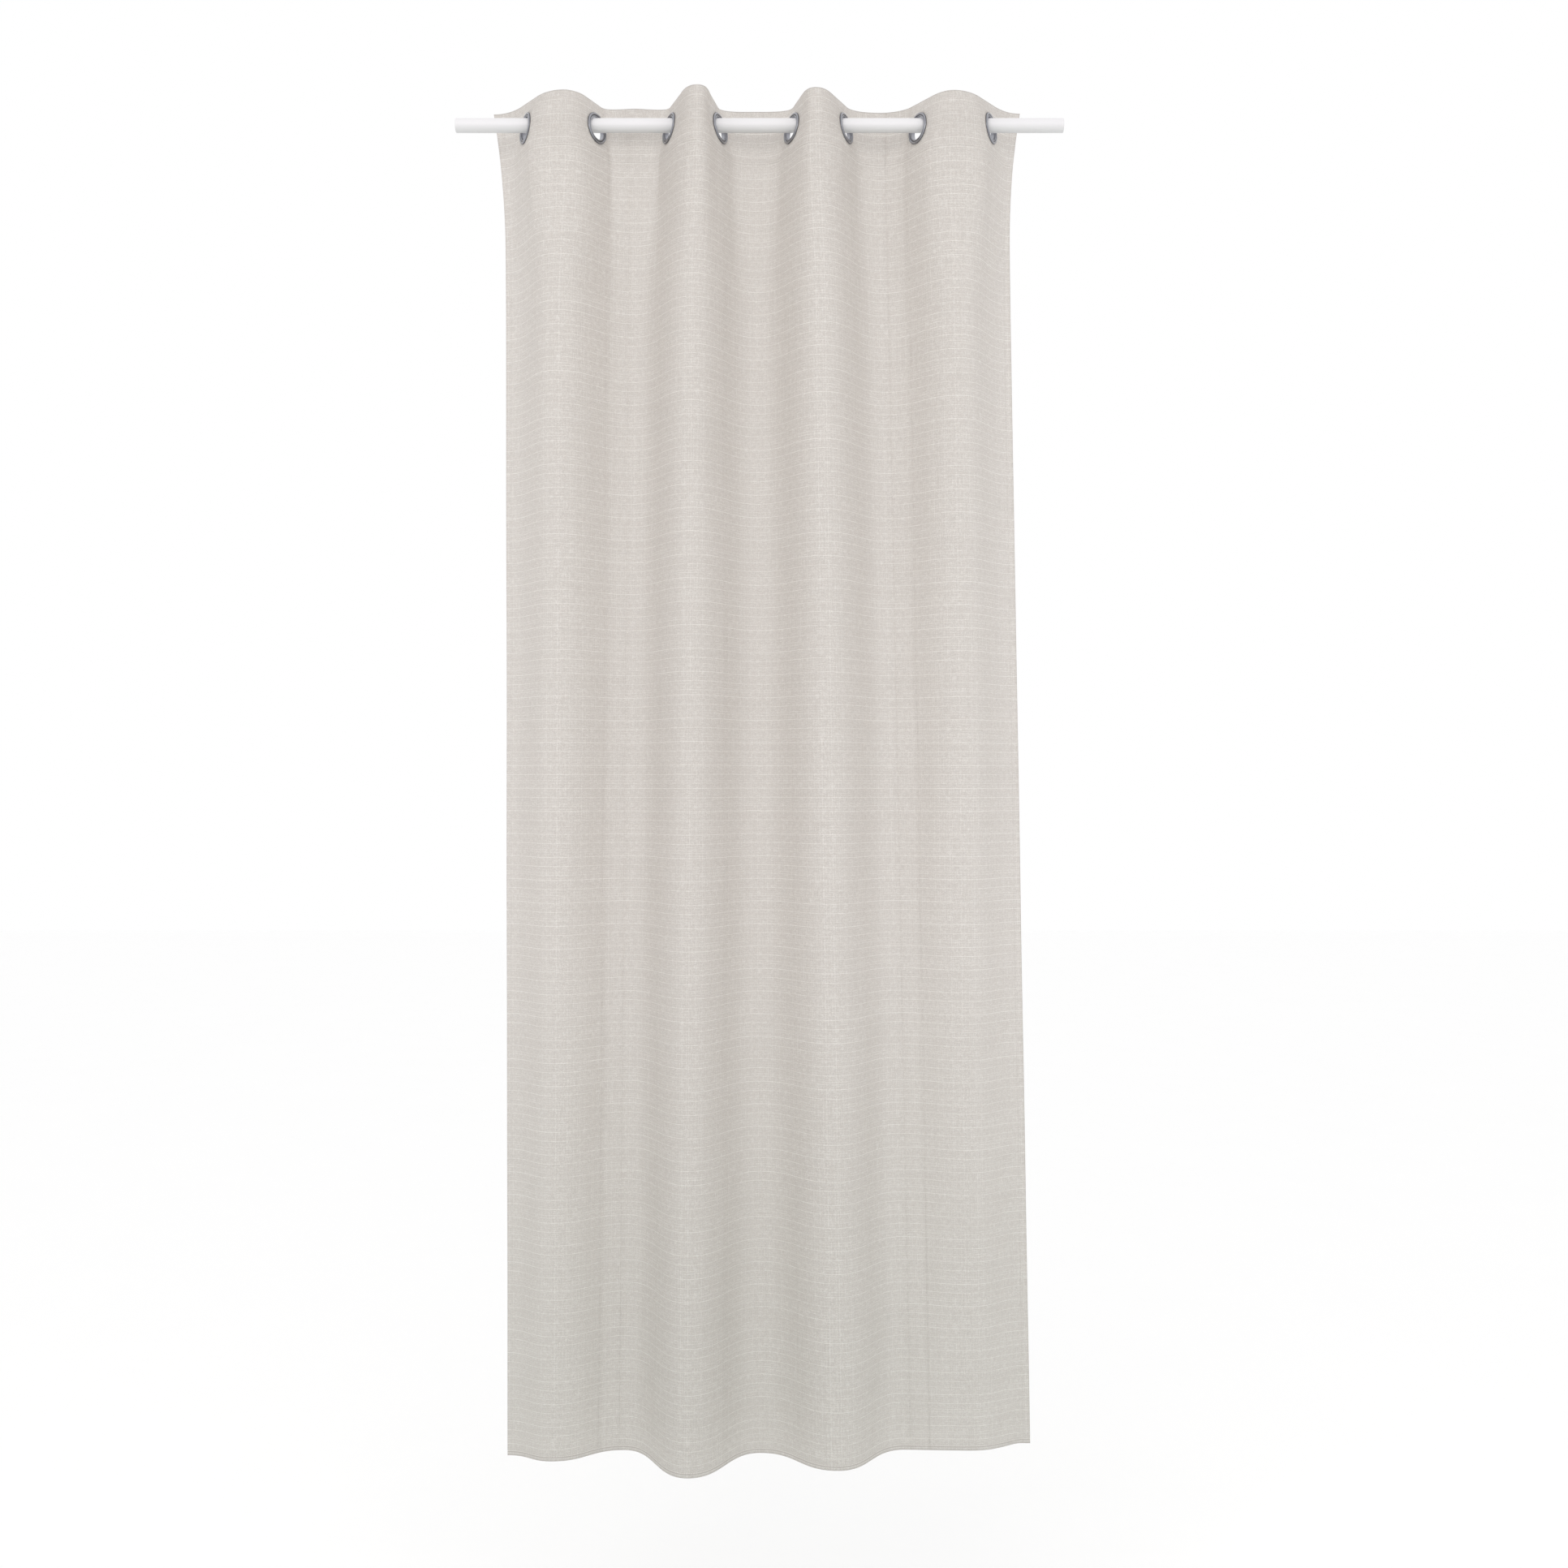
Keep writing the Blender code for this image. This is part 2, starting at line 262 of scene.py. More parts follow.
def hermite(start, end, start_slope, end_slope, t):
    squared, cubed = t * t, t * t * t
    return (
        start * (2 * cubed - 3 * squared + 1)
        + start_slope * (cubed - 2 * squared + t)
        + end * (3 * squared - 2 * cubed)
        + end_slope * (cubed - squared)
    )


def header_x(fold):
    if fold == 0:
        return LEFT_EDGE_X
    if fold == len(EYELET_X):
        return RIGHT_EDGE_X
    return (EYELET_X[fold - 1] + EYELET_X[fold]) / 2


def crest(fold, z):
    """Where this fold turns at each height, seen from above."""
    share = np.maximum(0.0, (HEADER_LOW - z) / (HEADER_LOW - HEM))
    x = header_x(fold) * (1 - share) + HEM_X[fold] * share
    flare = LEFT_FLARE if fold == 0 else RIGHT_FLARE if fold == len(EYELET_X) else 0.0
    x = x + flare * np.maximum(0.0, (z - FLARE_LOW) / (TOP - FLARE_LOW)) ** 2
    depth = HEADER_DEPTH[fold] * (1 - share) + HEM_DEPTH[fold] * share
    near_top = smoothstep((z - RELAXED) / (HEADER_LOW - RELAXED))
    x = x + CREST_SHIFT_X[fold] * near_top
    depth = depth + CREST_SHIFT_DEPTH[fold] * near_top
    return np.stack([x, -depth], axis=-1)


def flank_direction(number, extra_turn=0.0):
    turn = np.radians(EYELET_TURN[number - 1] + extra_turn)
    return np.stack([np.cos(turn), -np.sin(turn) if number % 2 else np.sin(turn)], axis=-1)


def taut_flank(number, z, t):
    """The flank at the header: flat under the eyelet, curved from there to the folds."""
    above = smoothstep((z - EYELET_Z - TWIST_START) / (TOP - EYELET_Z - TWIST_START))
    direction = flank_direction(number, TOP_TWIST[number - 1] * above)
    lean = EYELET_LEAN[number - 1] * (np.maximum(z, HEADER_LOW) - EYELET_Z)
    middle = np.stack([EYELET_X[number - 1] + lean, 0 * z], axis=-1)
    low, high = middle - direction * FLAT_HALF, middle + direction * FLAT_HALF
    along_rod = np.array([1.0, 0.0])
    if t <= 1 / 3:
        start = crest(number - 1, z)
        reach = np.linalg.norm(low - start, axis=-1, keepdims=True)
        return hermite(start, low, along_rod * reach, direction * reach, 3 * t)
    if t >= 2 / 3:
        end = crest(number, z)
        reach = np.linalg.norm(end - high, axis=-1, keepdims=True)
        return hermite(high, end, direction * reach, along_rod * reach, 3 * t - 2)
    return low + (high - low) * (3 * t - 1)


def slack_flank(number, z, t):
    """The flank lower down: one even curve from fold to fold."""
    start, end = crest(number - 1, z), crest(number, z)
    slope = (end - start) * ROUNDNESS * np.array([1.0, 0.0])
    return hermite(start, end, slope, slope, t)


def flank_points(number, z, t):
    taut = (1.0 - smoothstep((HEADER_LOW - z) / (HEADER_LOW - RELAXED)))[:, None]
    return slack_flank(number, z, t) * (1 - taut) + taut_flank(number, z, t) * taut


def column_places():
    """Each column of the cloth, as its flank's number and its place along the flank."""
    shares = [step / (3 * CURVE_COLUMNS) for step in range(CURVE_COLUMNS)]
    shares += [(1 + step / FLAT_COLUMNS) / 3 for step in range(FLAT_COLUMNS)]
    shares += [(2 + step / CURVE_COLUMNS) / 3 for step in range(CURVE_COLUMNS)]
    places = [(number, t) for number in range(1, len(EYELET_X) + 1) for t in shares]
    return places + [(len(EYELET_X), 1.0)]


def row_heights():
    """Fine rows in the header and at the hem, where the stitching is, and wider ones between."""
    seam = TOP - HEADER_BAND
    header = np.arange(TOP, seam + 4 * MM, -HEADER_ROW)
    line = seam + np.array(SEAM_LINES) * MM
    body = np.linspace(seam - 10 * MM, HEM + 24 * MM, round((DROP - HEADER_BAND) / BODY_ROW))
    hem = HEM + np.array(HEM_LINES) * MM
    return np.concatenate([header, line, body, hem])


def soft_waves(u, v):
    """Small uneven waves of hanging cloth, more of them towards the hem."""
    random = np.random.default_rng(7)
    height = 0 * u
    for _ in range(WAVE_COUNT):
        across = random.uniform(*WAVES_ACROSS)
        along = random.uniform(*WAVES_ALONG)
        phase = random.uniform(0.0, math.tau)
        height += np.sin(math.tau * (across * u + along * v) + phase) / (1 + across)
    slack = smoothstep((v - HEADER_BAND) / 0.5) * (0.4 + 0.6 * v / DROP)
    return WAVE_HEIGHT * height * slack


def edge_wrinkles(u, v):
    """Short soft dents that slope up to the right edge, in the lower half."""
    from_edge = FLAT_WIDTH - u
    near = smoothstep((DENT_REACH - from_edge) / 0.08) * smoothstep(from_edge / 0.03)
    low = smoothstep((v - DENT_START) / 0.25)
    run = v + DENT_SLOPE * u
    phase = math.tau * run / DENT_PITCH + 1.9 * np.sin(math.tau * run / 0.37)
    return DENT_HEIGHT * near * low * np.sin(phase)


class Cloth:
    """The whole panel as a grid: its middle surface, its normals and its two faces."""

    def __init__(self):
        self.places = column_places()
        self.z = row_heights()
        plan = np.stack([flank_points(n, self.z, t) for n, t in self.places], axis=1)
        heights = np.repeat(self.z[:, None], len(self.places), axis=1)
        middle = np.concatenate([plan, heights[..., None]], axis=-1)
        header = np.linalg.norm(np.diff(plan[0], axis=0), axis=1)
        width = np.concatenate([[0.0], np.cumsum(header)])
        self.u = np.repeat((width * FLAT_WIDTH / width[-1])[None, :], len(self.z), axis=0)
        self.v = TOP - heights
        waves = soft_waves(self.u, self.v) + edge_wrinkles(self.u, self.v)
        self.middle = middle + self.normals(middle) * waves[..., None]
        self.normal = self.normals(self.middle)
        self.open_cells = self.cut_holes()
        self.front, self.back = self.faces()

    @staticmethod
    def normals(points):
        down = np.gradient(points, axis=0)
        across = np.gradient(points, axis=1)
        normal = np.cross(down, across)
        return normal / np.linalg.norm(normal, axis=-1, keepdims=True)

    def cut_holes(self):
        """The cells outside the eyelets' holes, after the points round each hole are drawn onto a circle."""
        rows, columns = self.u.shape
        removed = np.zeros((rows - 1, columns - 1), bool)
        for x in EYELET_X:
            centre = np.array([x, 0.0, EYELET_Z])
            away = self.middle - centre
            distance = np.linalg.norm(away, axis=-1)
            inside = distance < HOLE_SEARCH
            cells = inside[:-1, :-1] | inside[1:, :-1] | inside[:-1, 1:] | inside[1:, 1:]
            touched = np.zeros_like(inside)
            for down in (0, 1):
                for across in (0, 1):
                    touched[down : rows - 1 + down, across : columns - 1 + across] |= cells
            rim = touched & ~inside
            self.middle[rim] = centre + away[rim] * (HOLE_RADIUS / distance[rim])[:, None]
            removed |= cells
        return ~removed

    def faces(self):
        """The front and back faces: thicker in the header and the hems, drawn in at stitches and edges."""
        in_header = smoothstep((HEADER_BAND + TURNED_EDGE / 2 - self.v) / TURNED_EDGE)
        in_hem = smoothstep((self.v - (DROP - BOTTOM_HEM)) / (2 * MM))
        from_side = np.minimum(self.u, FLAT_WIDTH - self.u)
        in_side = smoothstep((SIDE_HEM - from_side) / TURNED_EDGE)
        thick = (HALF_HEADER - HALF_CLOTH) * in_header
        front = HALF_CLOTH + thick + HEM_FRONT * in_hem
        back = HALF_CLOTH + thick + HEM_BACK * np.maximum(in_hem, in_side * (1 - in_header))
        pinch = PINCH_DEPTH * self.stitch_lines()
        edge = smoothstep(from_side / EDGE_ROUNDING) * smoothstep((DROP - self.v) / EDGE_ROUNDING)
        round_off = EDGE_THINNEST + (1 - EDGE_THINNEST) * edge * smoothstep(self.v / (3 * MM))
        front = (front - pinch) * round_off
        back = (back - pinch) * round_off
        return (
            self.middle + self.normal * front[..., None],
            self.middle - self.normal * back[..., None],
        )

    def stitch_lines(self):
        """1 along each row of stitches, falling away to either side."""
        lines = [self.v - HEADER_BAND, self.v - (DROP - BOTTOM_HEM), self.v - TOP_STITCH]
        return np.max([np.exp(-((line / PINCH_WIDTH) ** 2)) for line in lines], axis=0)

    def column(self, number, t):
        """The column nearest to this place along the flank."""
        return min(
            range(len(self.places)),
            key=lambda i: abs(self.places[i][0] + self.places[i][1] - number - t),
        )


def boundary_edges(kept):
    """The edges of the kept cells that no other kept cell shares, each running with its cell."""
    padded = np.pad(kept, 1)
    rows, columns = kept.shape
    edges = []
    corners = ((0, 0), (1, 0), (1, 1), (0, 1))
    for side, (down, across) in enumerate(((0, -1), (1, 0), (0, 1), (-1, 0))):
        neighbour = padded[1 + down : 1 + down + rows, 1 + across : 1 + across + columns]
        for row, column in zip(*np.nonzero(kept & ~neighbour)):
            first, second = corners[side], corners[(side + 1) % 4]
            edges.append(((row + first[0], column + first[1]), (row + second[0], column + second[1])))
    return edges


def cell_faces(kept, count):
    """The kept cells as faces on the front, on the back and as walls between them at each open edge."""
    rows, columns = kept.shape
    number = np.arange((rows + 1) * (columns + 1)).reshape(rows + 1, columns + 1)
    row, column = np.nonzero(kept)
    front = np.stack(
        [number[row, column], number[row + 1, column], number[row + 1, column + 1], number[row, column + 1]],
        axis=1,
    )
    edges = [(number[a], number[b]) for a, b in boundary_edges(kept)]
    walls = np.array([(b, a, a + count, b + count) for a, b in edges])
    return front, front[:, ::-1] + count, walls


def flat_normals(points, faces):
    """Each face's own normal, once for each of its corners."""
    corners = points[faces]
    normal = np.cross(corners[:, 1] - corners[:, 0], corners[:, 2] - corners[:, 0])
    normal /= np.linalg.norm(normal, axis=1, keepdims=True) + 1e-12
    return np.repeat(normal[:, None, :], faces.shape[1], axis=1)


def sheet_mesh(name, cloth, first, last):
    """A closed sheet over these columns, with the whole cloth's normals so that its joins hardly show."""
    span = slice(first, last + 1)
    front, back = (face[:, span].reshape(-1, 3) for face in (cloth.front, cloth.back))
    normal = cloth.normal[:, span].reshape(-1, 3)
    weave = np.stack([cloth.u[:, span], cloth.v[:, span], 0 * cloth.u[:, span]], axis=-1).reshape(-1, 3)
    front_faces, back_faces, walls = cell_faces(cloth.open_cells[:, first:last], len(front))
    points = np.concatenate([front, back])
    normals = np.concatenate([normal, -normal])
    weave = np.concatenate([weave, weave])
    sides = np.concatenate([front_faces, back_faces])
    corner_normals = np.concatenate([normals[sides], flat_normals(points, walls)])
    faces = np.concatenate([sides, walls])
    used, renumbered = np.unique(faces, return_inverse=True)
    mesh = bpy.data.meshes.new(name)
    mesh.from_pydata(points[used].tolist(), [], renumbered.reshape(faces.shape).tolist())
    attribute = mesh.attributes.new("weave", "FLOAT_VECTOR", "POINT")
    attribute.data.foreach_set("vector", weave[used].astype(np.float32).ravel())
    mesh.shade_smooth()
    mesh.normals_split_custom_set(corner_normals.reshape(-1, 3).tolist())
    return mesh


# Materials.


class Shader:
    """Short calls that add nodes to one material."""

    def __init__(self, name, roughness, metallic=0.0):
        self.material = bpy.data.materials.new(name)
        self.material.use_nodes = True
        self.tree = self.material.node_tree
        self.principled = self.tree.nodes["Principled BSDF"]
        self.principled.inputs["Roughness"].default_value = roughness
        self.principled.inputs["Metallic"].default_value = metallic

    def put(self, socket, value):
        if isinstance(value, bpy.types.NodeSocket):
            self.tree.links.new(value, socket)
        else:
            socket.default_value = value

    def math(self, operation, first, second=0.0, clamp=False):
        node = self.tree.nodes.new("ShaderNodeMath")
        node.operation = operation
        node.use_clamp = clamp
        self.put(node.inputs[0], first)
        self.put(node.inputs[1], second)
        return node.outputs[0]

    def scaled(self, vector, factors):
        node = self.tree.nodes.new("ShaderNodeVectorMath")
        node.operation = "MULTIPLY"
        self.put(node.inputs[0], vector)
        node.inputs[1].default_value = factors
        return node.outputs[0]

    def noise(self, vector, detail=2.0, rough=0.5):
        node = self.tree.nodes.new("ShaderNodeTexNoise")
        self.put(node.inputs["Vector"], vector)
        node.inputs["Scale"].default_value = 1.0
        node.inputs["Detail"].default_value = detail
        node.inputs["Roughness"].default_value = rough
        return node.outputs["Fac"]

    def ramp(self, value, low, high):
        node = self.tree.nodes.new("ShaderNodeMapRange")
        node.interpolation_type = "SMOOTHSTEP"
        self.put(node.inputs["Value"], value)
        node.inputs["From Min"].default_value = low
        node.inputs["From Max"].default_value = high
        return node.outputs["Result"]

    def mix(self, factor, first, second, blend="MIX"):
        node = self.tree.nodes.new("ShaderNodeMix")
        node.data_type = "RGBA"
        node.blend_type = blend
        self.put(node.inputs["Factor"], factor)
        self.put(node.inputs[6], first)
        self.put(node.inputs[7], second)
        return node.outputs[2]

    def tint(self, factor, colour, by):
        """This colour multiplied by another, as far as the factor says."""
        return self.mix(factor, colour, by, "MULTIPLY")

    def split(self, vector):
        node = self.tree.nodes.new("ShaderNodeSeparateXYZ")
        self.put(node.inputs[0], vector)
        return node.outputs

    def bump(self, height, distance, strength=1.0):
        node = self.tree.nodes.new("ShaderNodeBump")
        node.inputs["Strength"].default_value = strength
        node.inputs["Distance"].default_value = distance
        self.put(node.inputs["Height"], height)
        self.put(self.principled.inputs["Normal"], node.outputs["Normal"])

    def let_light_through(self, colour, share):
        """Thin cloth: this share of the light comes from behind it."""
        behind = self.tree.nodes.new("ShaderNodeBsdfTranslucent")
        self.put(behind.inputs["Color"], colour)
        mixed = self.tree.nodes.new("ShaderNodeMixShader")
        mixed.inputs[0].default_value = share
        self.tree.links.new(self.principled.outputs[0], mixed.inputs[1])
        self.tree.links.new(behind.outputs[0], mixed.inputs[2])
        self.tree.links.new(mixed.outputs[0], self.tree.nodes["Material Output"].inputs["Surface"])

    def position(self):
        return self.tree.nodes.new("ShaderNodeTexCoord").outputs["Object"]


def band(shader, place, centre, half):
    """1 at this place, falling to 0 at half a band to either side."""
    away = shader.math("ABSOLUTE", shader.math("SUBTRACT", place, centre))
    return shader.math("SUBTRACT", 1.0, shader.math("DIVIDE", away, half), clamp=True)


def threads_along(shader, weave, place, repeat, threads, half, swell_scale):
    """Light threads at a steady repeat, each waxing and waning along its length."""
    wander = shader.math("MULTIPLY", shader.noise(shader.scaled(weave, (2.0, 3.0, 1.0))), THREAD_WANDER)
    phase = shader.math("FRACT", shader.math("DIVIDE", shader.math("ADD", place, wander), repeat))
    total = 0.0
    for centre, strength in threads:
        line = band(shader, phase, centre, half)
        total = shader.math("ADD", total, shader.math("MULTIPLY", line, strength))
    swell = shader.ramp(shader.noise(shader.scaled(weave, swell_scale)), 0.22, 0.62)
    swell = shader.math("MULTIPLY", swell, 1 - THREAD_LEAST)
    return shader.math("MULTIPLY", total, shader.math("ADD", THREAD_LEAST, swell))


def painted_seam_shade_and_stitches(shader, across, down):
    """The painted shade along the seams and edges, and the rows of stitches."""
    gap = shader.math("FRACT", shader.math("DIVIDE", across, STITCH_PITCH))
    dash = shader.math("LESS_THAN", gap, STITCH_SHARE)
    shade = 0.0
    stitches = 0.0
    for line, strength in SEAM_ROWS:
        below = shader.math("MULTIPLY", band(shader, down, line + SEAM_HALF, SEAM_HALF), strength)
        shade = shader.math("MAXIMUM", shade, below)
        away = shader.math("ABSOLUTE", shader.math("SUBTRACT", down, line))
        thread = shader.math("MULTIPLY", shader.math("LESS_THAN", away, STITCH_HALF), dash)
        stitches = shader.math("MAXIMUM", stitches, thread)
    # Painted shade along the top and bottom edges and the sides.
    for edge in (0.0, DROP):
        shade = shader.math("MAXIMUM", shade, band(shader, down, edge, EDGE_HALF))
    for edge, strength in SIDE_LINES:
        side = shader.math("MULTIPLY", band(shader, across, edge, SIDE_HALF), strength)
        shade = shader.math("MAXIMUM", shade, side)
    return shade, stitches


def weave_layers(shader, weave, across, down):
    """The threads, the grain, and how light the cloth is from place to place with both."""
    weft = threads_along(shader, weave, down, WEFT_REPEAT, WEFT_THREADS, WEFT_HALF, WEFT_SWELL)
    warp = threads_along(shader, weave, across, WARP_REPEAT, WARP_THREADS, WARP_HALF, WARP_SWELL)
    fine_turned = (FINE_SCALE[1], FINE_SCALE[0], 1.0)
    fine_weft = shader.ramp(shader.noise(shader.scaled(weave, FINE_SCALE), 1.0), *FINE_RANGE)
    fine_warp = shader.ramp(shader.noise(shader.scaled(weave, fine_turned), 1.0), *FINE_RANGE)
    grain = shader.noise(shader.scaled(weave, (GRAIN_SCALE, GRAIN_SCALE, 1.0)), 2.0, 0.6)
    mottle = shader.noise(shader.scaled(weave, (CLOUD_SCALE, CLOUD_SCALE, 1.0)), 3.0, 0.6)
    threads = shader.math("MULTIPLY", weft, WEFT_SHARE)
    for layer, share in ((fine_weft, FINE_WEFT_SHARE), (warp, WARP_SHARE), (fine_warp, FINE_WARP_SHARE)):
        threads = shader.math("ADD", threads, shader.math("MULTIPLY", layer, share))
    body = shader.math("MULTIPLY", shader.math("SUBTRACT", grain, 0.5), GRAIN_SHARE)
    cloud = shader.math("MULTIPLY", shader.math("SUBTRACT", mottle, 0.5), CLOUD_SHARE)
    amount = shader.math("ADD", threads, shader.math("ADD", body, cloud), clamp=True)
    return threads, grain, amount


def cloth_material(name, base, light):
    """Plain-woven cloth with its stitches and painted shade at seams, edges and hem, thin enough for light to
    come through.
    """
    shader = Shader(name, roughness=0.92)
    attribute = shader.tree.nodes.new("ShaderNodeAttribute")
    attribute.attribute_name = "weave"
    weave = attribute.outputs["Vector"]
    place = shader.split(weave)
    across, down = place[0], place[1]
    threads, grain, amount = weave_layers(shader, weave, across, down)
    colour = shader.mix(amount, (*base, 1.0), (*light, 1.0))
    specks = shader.noise(shader.scaled(weave, (HEATHER_SCALE, HEATHER_SCALE, 1.0)), 3.0, 0.7)
    colour = shader.tint(shader.ramp(specks, *HEATHER_RANGE), colour, HEATHER)
    # Painted shade: the cloth grows darker and greyer towards the hem.
    colour = shader.tint(shader.ramp(down, HEM_SHADE_START, DROP), colour, HEM_PAINTED_SHADE)
    shade, stitches = painted_seam_shade_and_stitches(shader, across, down)
    # Painted shade along the seams and edges, mixed in as a darker copy of the base colour.
    dark = tuple(SEAM_SHADE * part for part in base)
    colour = shader.mix(shader.math("MULTIPLY", shade, SEAM_MIX), colour, (*dark, 1.0))
    colour = shader.mix(shader.math("MULTIPLY", stitches, STITCH_MIX), colour, (*light, 1.0))
    shader.put(shader.principled.inputs["Base Color"], colour)
    height = shader.math("ADD", threads, shader.math("ADD", stitches, shader.math("MULTIPLY", grain, 0.8)))
    shader.bump(height, WEAVE_BUMP, 0.5)
    shader.let_light_through(colour, THROUGH_CLOTH)
    return shader.material


def rod_material():
    """Satin white paint, with painted shade that makes the underside a little darker."""
    shader = Shader("white_paint", roughness=0.36)
    place = shader.position()
    cloud = shader.noise(shader.scaled(place, (9.0, 60.0, 60.0)), 4.0)
    colour = shader.mix(cloud, ROD_BASE, ROD_LIGHT)
    height = shader.split(place)[2]
    # Painted shade on the rod's underside, strongest at the bottom.
    under = shader.math("SUBTRACT", 1.0, shader.ramp(height, ROD_SHADE_LOW, ROD_SHADE_HIGH))
    colour = shader.tint(under, colour, ROD_PAINTED_SHADE)
    shader.put(shader.principled.inputs["Base Color"], colour)
    shader.put(shader.principled.inputs["Roughness"], shader.ramp(cloud, -1.2, 2.6))
    shader.bump(shader.noise(shader.scaled(place, (400.0, 900.0, 900.0)), 2.0), 0.06 * MM, 0.35)
    return shader.material


def metal_material(name, dark, light, roughness):
    """Satin metal, with painted shade in the groove and at the outer rim."""
    shader = Shader(name, roughness, metallic=1.0)
    place = shader.position()
    streak = shader.noise(shader.scaled(place, (700.0, 700.0, 90.0)), 3.0)
    flat = shader.scaled(place, (1.0, 1.0, 0.0))
    length = shader.tree.nodes.new("ShaderNodeVectorMath")
    length.operation = "LENGTH"
    shader.put(length.inputs[0], flat)
    radius = length.outputs["Value"]
    # Painted shade in the groove and at the outer rim.
    groove = band(shader, radius, GROOVE_SHADE_AT, GROOVE_SHADE_HALF)
    rim = band(shader, radius, RING_OUTER, RIM_SHADE_HALF)
    shade = shader.math("MAXIMUM", groove, shader.math("MULTIPLY", rim, RIM_SHADE))
    colour = shader.mix(streak, (*dark, 1.0), (*light, 1.0))
    painted_shade_colour = tuple(METAL_PAINTED_SHADE * part for part in dark)
    shader.put(shader.principled.inputs["Base Color"], shader.mix(shade, colour, (*painted_shade_colour, 1.0)))
    shader.bump(streak, 0.04 * MM, 0.4)
    return shader.material


# Pieces.


def add_piece(name, mesh, material):
    obj = bpy.data.objects.new(name, mesh)
    mesh.materials.append(material)
    bpy.context.scene.collection.objects.link(obj)
    return obj


def make_cloth():
    cloth = Cloth()
    finish = cloth_material("woven_cloth", CLOTH_BASE, CLOTH_LIGHT)
    columns = [cloth.column(number, t) for number, t in PART_ENDS]
    for index, (body, other, span, lean) in enumerate(CLOTH_PARTS):
        first, last = columns[index], columns[index + 1]
        name = f"curtain_cloth_{index + 1}"
        piece = add_piece(name, sheet_mesh(name, cloth, first, last), finish)
        if other is None:
            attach(piece, body)
        else:
            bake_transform(piece)
        replaced = [f"cloth_{index + 1}", f"header_tape_{index + 1}"]
        if index == len(CLOTH_PARTS) - 1:
            replaced += ["cloth_10", "header_tape_10"]
        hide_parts(*replaced)


def arc(centre, radius, first, last, steps):
    """Points along an arc, from one angle to another in degrees."""
    angles = np.radians(np.linspace(first, last, steps))
    return [(centre[0] + radius * math.cos(a), centre[1] + radius * math.sin(a)) for a in angles]


def front_ring_profile():
    """A rounded lip, a groove and the collar that runs through the cloth and widens a little at its end."""
    lip_centre = (RING_OUTER - LIP_RADIUS, FRONT_FACE + 0.4 * MM)
    groove_centre = (RING_BORE + 3.0 * MM, FRONT_FACE + 1.9 * MM)
    collar_lip_centre = (RING_BORE + COLLAR_LIP_RADIUS, FRONT_FACE + COLLAR_LIP_RADIUS)
    lip = arc(lip_centre, LIP_RADIUS, -11, 150, 12)
    groove = arc(groove_centre, GROOVE_RADIUS, 320, 200, 6)
    collar_lip = arc(collar_lip_centre, COLLAR_LIP_RADIUS, 60, 180, 8)
    inside = [(RING_BORE, BACK_FACE), (COLLAR_MOUTH, COLLAR_END), (RING_COLLAR, COLLAR_END)]
    return lip + groove + collar_lip + inside + [(RING_COLLAR, FRONT_FACE), (RING_OUTER, FRONT_FACE)]


def back_ring_profile():
    """A flat ring round the collar, with a rolled outer edge and a bevelled inner one."""
    inner = RING_COLLAR + 0.4 * MM
    edge = arc((RING_OUTER - BACK_EDGE_RADIUS, BACK_FACE - 0.7 * MM), BACK_EDGE_RADIUS, 60, -90, 8)
    bevel = [(inner + 1.4 * MM, BACK_FACE - 1.5 * MM), (inner + 0.3 * MM, BACK_FACE - 1.4 * MM)]
    return edge + bevel + [(inner, BACK_FACE)]


def turned_mesh(name, profile):
    """The profile turned once round Z, as a closed ring."""
    points = []
    faces = []
    count = len(profile)
    for side in range(RING_SIDES):
        angle = math.tau * side / RING_SIDES
        points += [(r * math.cos(angle), r * math.sin(angle), h) for r, h in profile]
        after = (side + 1) % RING_SIDES
        for index in range(count):
            nearby = (index + 1) % count
            faces.append(
                (side * count + index, after * count + index, after * count + nearby, side * count + nearby)
            )
    mesh = bpy.data.meshes.new(name)
    mesh.from_pydata(points, [], faces)
    mesh.validate()
    mesh.shade_smooth()
    mesh.set_sharp_from_angle(angle=RING_SHARP)
    return mesh


def eyelet_frame(number):
    direction = flank_direction(number)
    along = Vector((direction[0], direction[1], 0.0))
    up = Vector((EYELET_LEAN[number - 1], 0.0, 1.0))
    front = along.cross(up).normalized()
    across = up.cross(front).normalized()
    turned = Matrix((across, front.cross(across), front)).transposed().to_4x4()
    return Matrix.Translation(Vector((EYELET_X[number - 1], 0.0, EYELET_Z))) @ turned


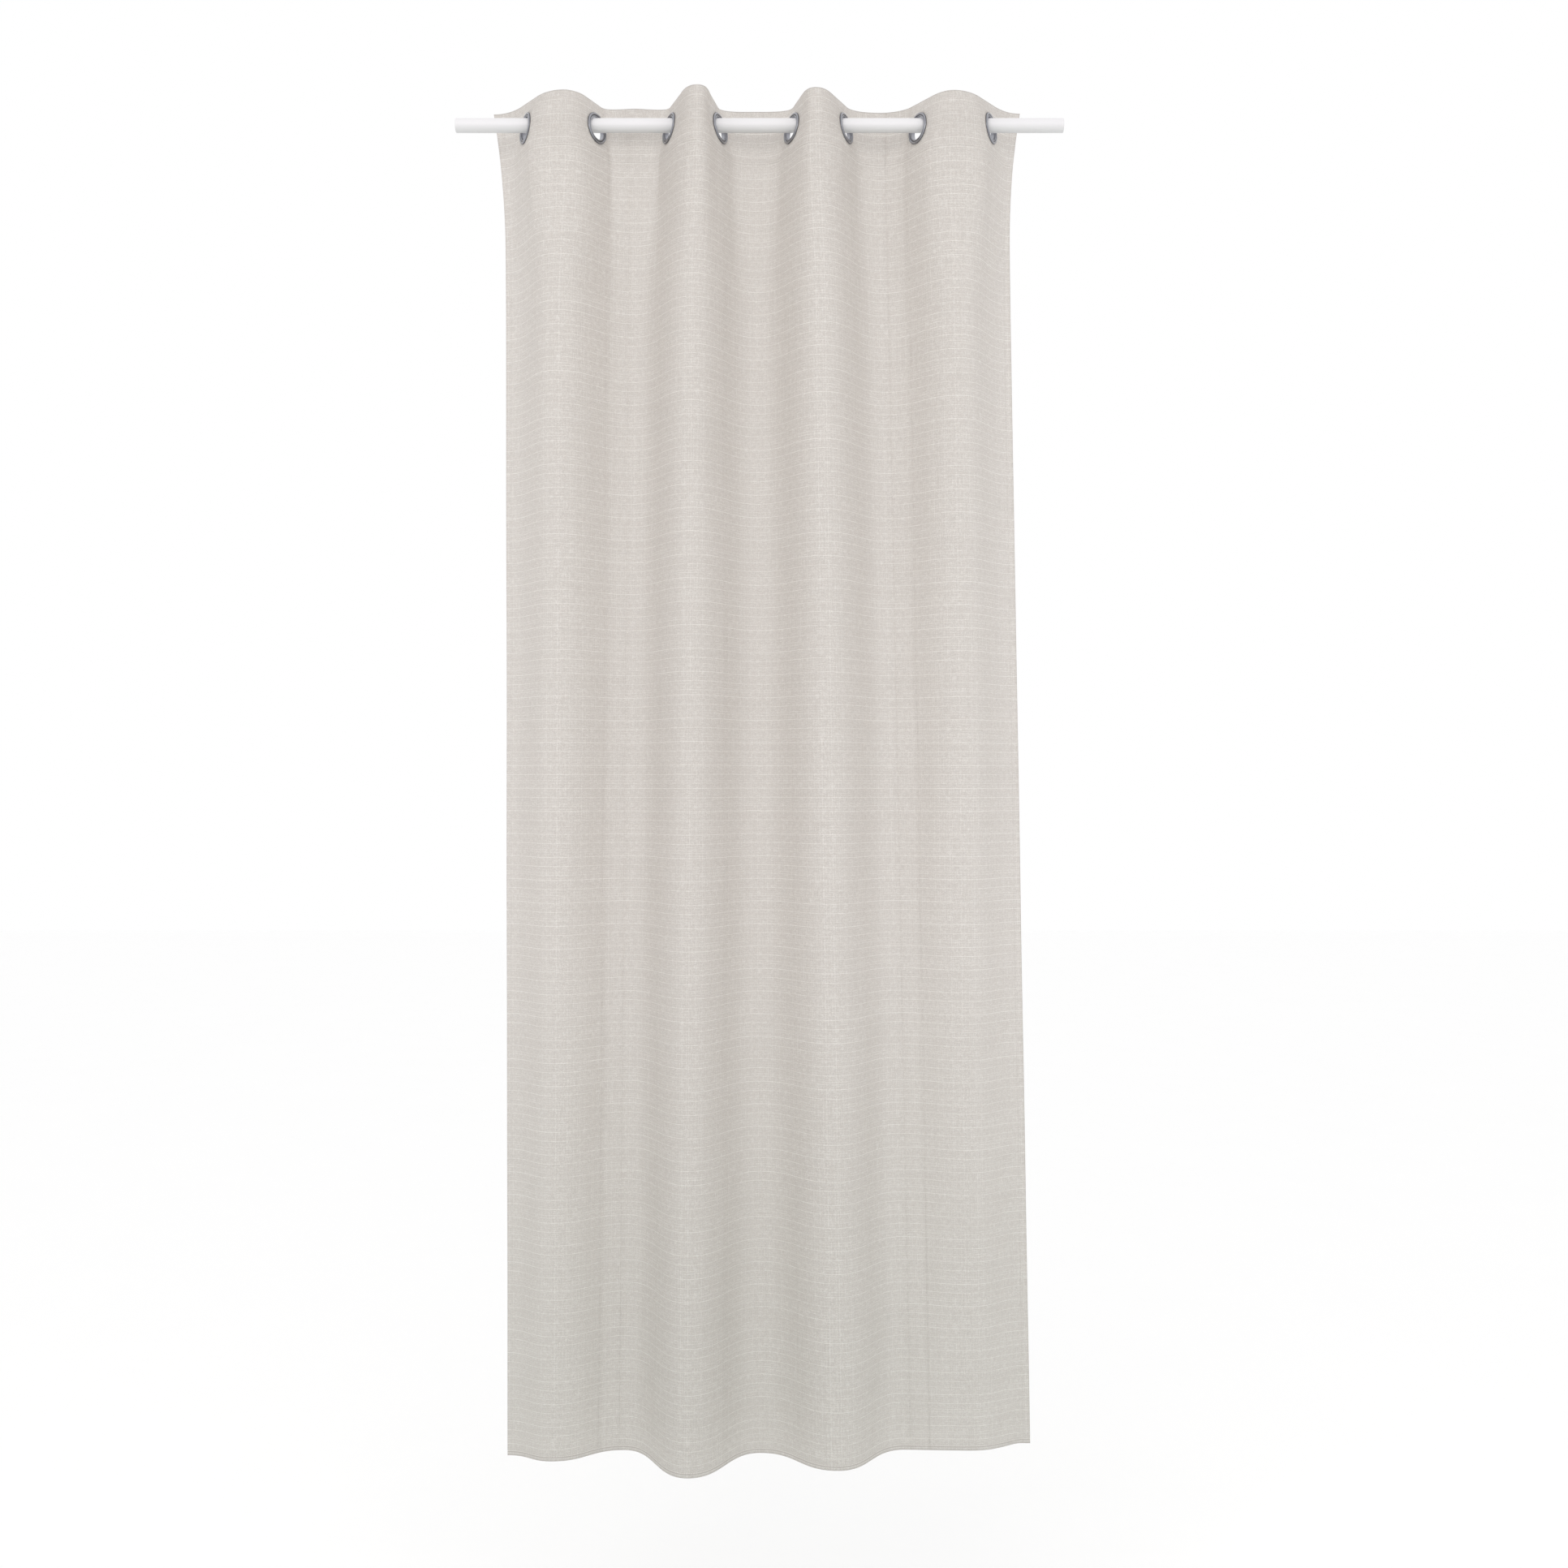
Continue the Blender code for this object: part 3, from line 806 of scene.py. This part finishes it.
def make_eyelets():
    satin = metal_material("satin_metal", METAL_DARK, METAL_LIGHT, METAL_ROUGHNESS)
    profiles = {"front": front_ring_profile(), "back": back_ring_profile()}
    for side, profile in profiles.items():
        for number, body in enumerate(EYELET_BODIES, start=1):
            name = f"eyelet_ring_{number}_{side}"
            ring = add_piece(name, turned_mesh(name, profile), satin)
            ring.matrix_world = eyelet_frame(number)
            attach(ring, body)
            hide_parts(f"eyelet_{number}_{side}")


def finish_rod():
    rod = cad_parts["rod"]
    rod.data.materials.clear()
    rod.data.materials.append(rod_material())
    rod.data.shade_smooth()
    rod.data.set_sharp_from_angle(angle=ROD_SHARP)


# The studio.


def area_light(name, place, size, power, colour):
    light = bpy.data.lights.new(name, "AREA")
    light.color = colour
    light.shape = "RECTANGLE"
    light.size, light.size_y = size
    light.energy = power
    obj = bpy.data.objects.new(name, light)
    obj.location = place
    obj.rotation_euler = (Vector(LAMP_TARGET) - Vector(place)).to_track_quat("-Z", "Y").to_euler()
    bpy.context.scene.collection.objects.link(obj)


def make_studio():
    world = bpy.data.worlds.new("studio")
    world.use_nodes = True
    world.node_tree.nodes["Background"].inputs["Color"].default_value = (1.0, 1.0, 1.0, 1.0)
    world.node_tree.nodes["Background"].inputs["Strength"].default_value = 1.0
    bpy.context.scene.world = world
    bpy.context.scene.view_settings.view_transform = "Standard"
    area_light("key", *KEY_LAMP)
    area_light("fill", *FILL_LAMP)


def make_floor():
    bpy.ops.mesh.primitive_plane_add(size=FLOOR_SIZE, location=(0.0, 4.0, FLOOR_Z))
    floor = bpy.context.object
    floor.name = "studio_floor"
    shader = Shader("pale_floor", roughness=0.85)
    speck = shader.noise(shader.scaled(shader.position(), (3.0, 3.0, 3.0)), 3.0)
    colour = shader.mix(speck, FLOOR_DARK, FLOOR_LIGHT)
    shader.put(shader.principled.inputs["Base Color"], colour)
    floor.data.materials.append(shader.material)


def make_camera():
    camera = bpy.data.cameras.new("camera")
    camera.lens = CAMERA_LENS
    camera.sensor_width = CAMERA_SENSOR
    obj = bpy.data.objects.new("camera", camera)
    obj.location = CAMERA_PLACE
    obj.rotation_euler = (math.pi / 2, 0.0, 0.0)
    bpy.context.scene.collection.objects.link(obj)
    bpy.context.scene.camera = obj


make_camera()
make_studio()
make_floor()
finish_rod()
make_eyelets()
make_cloth()
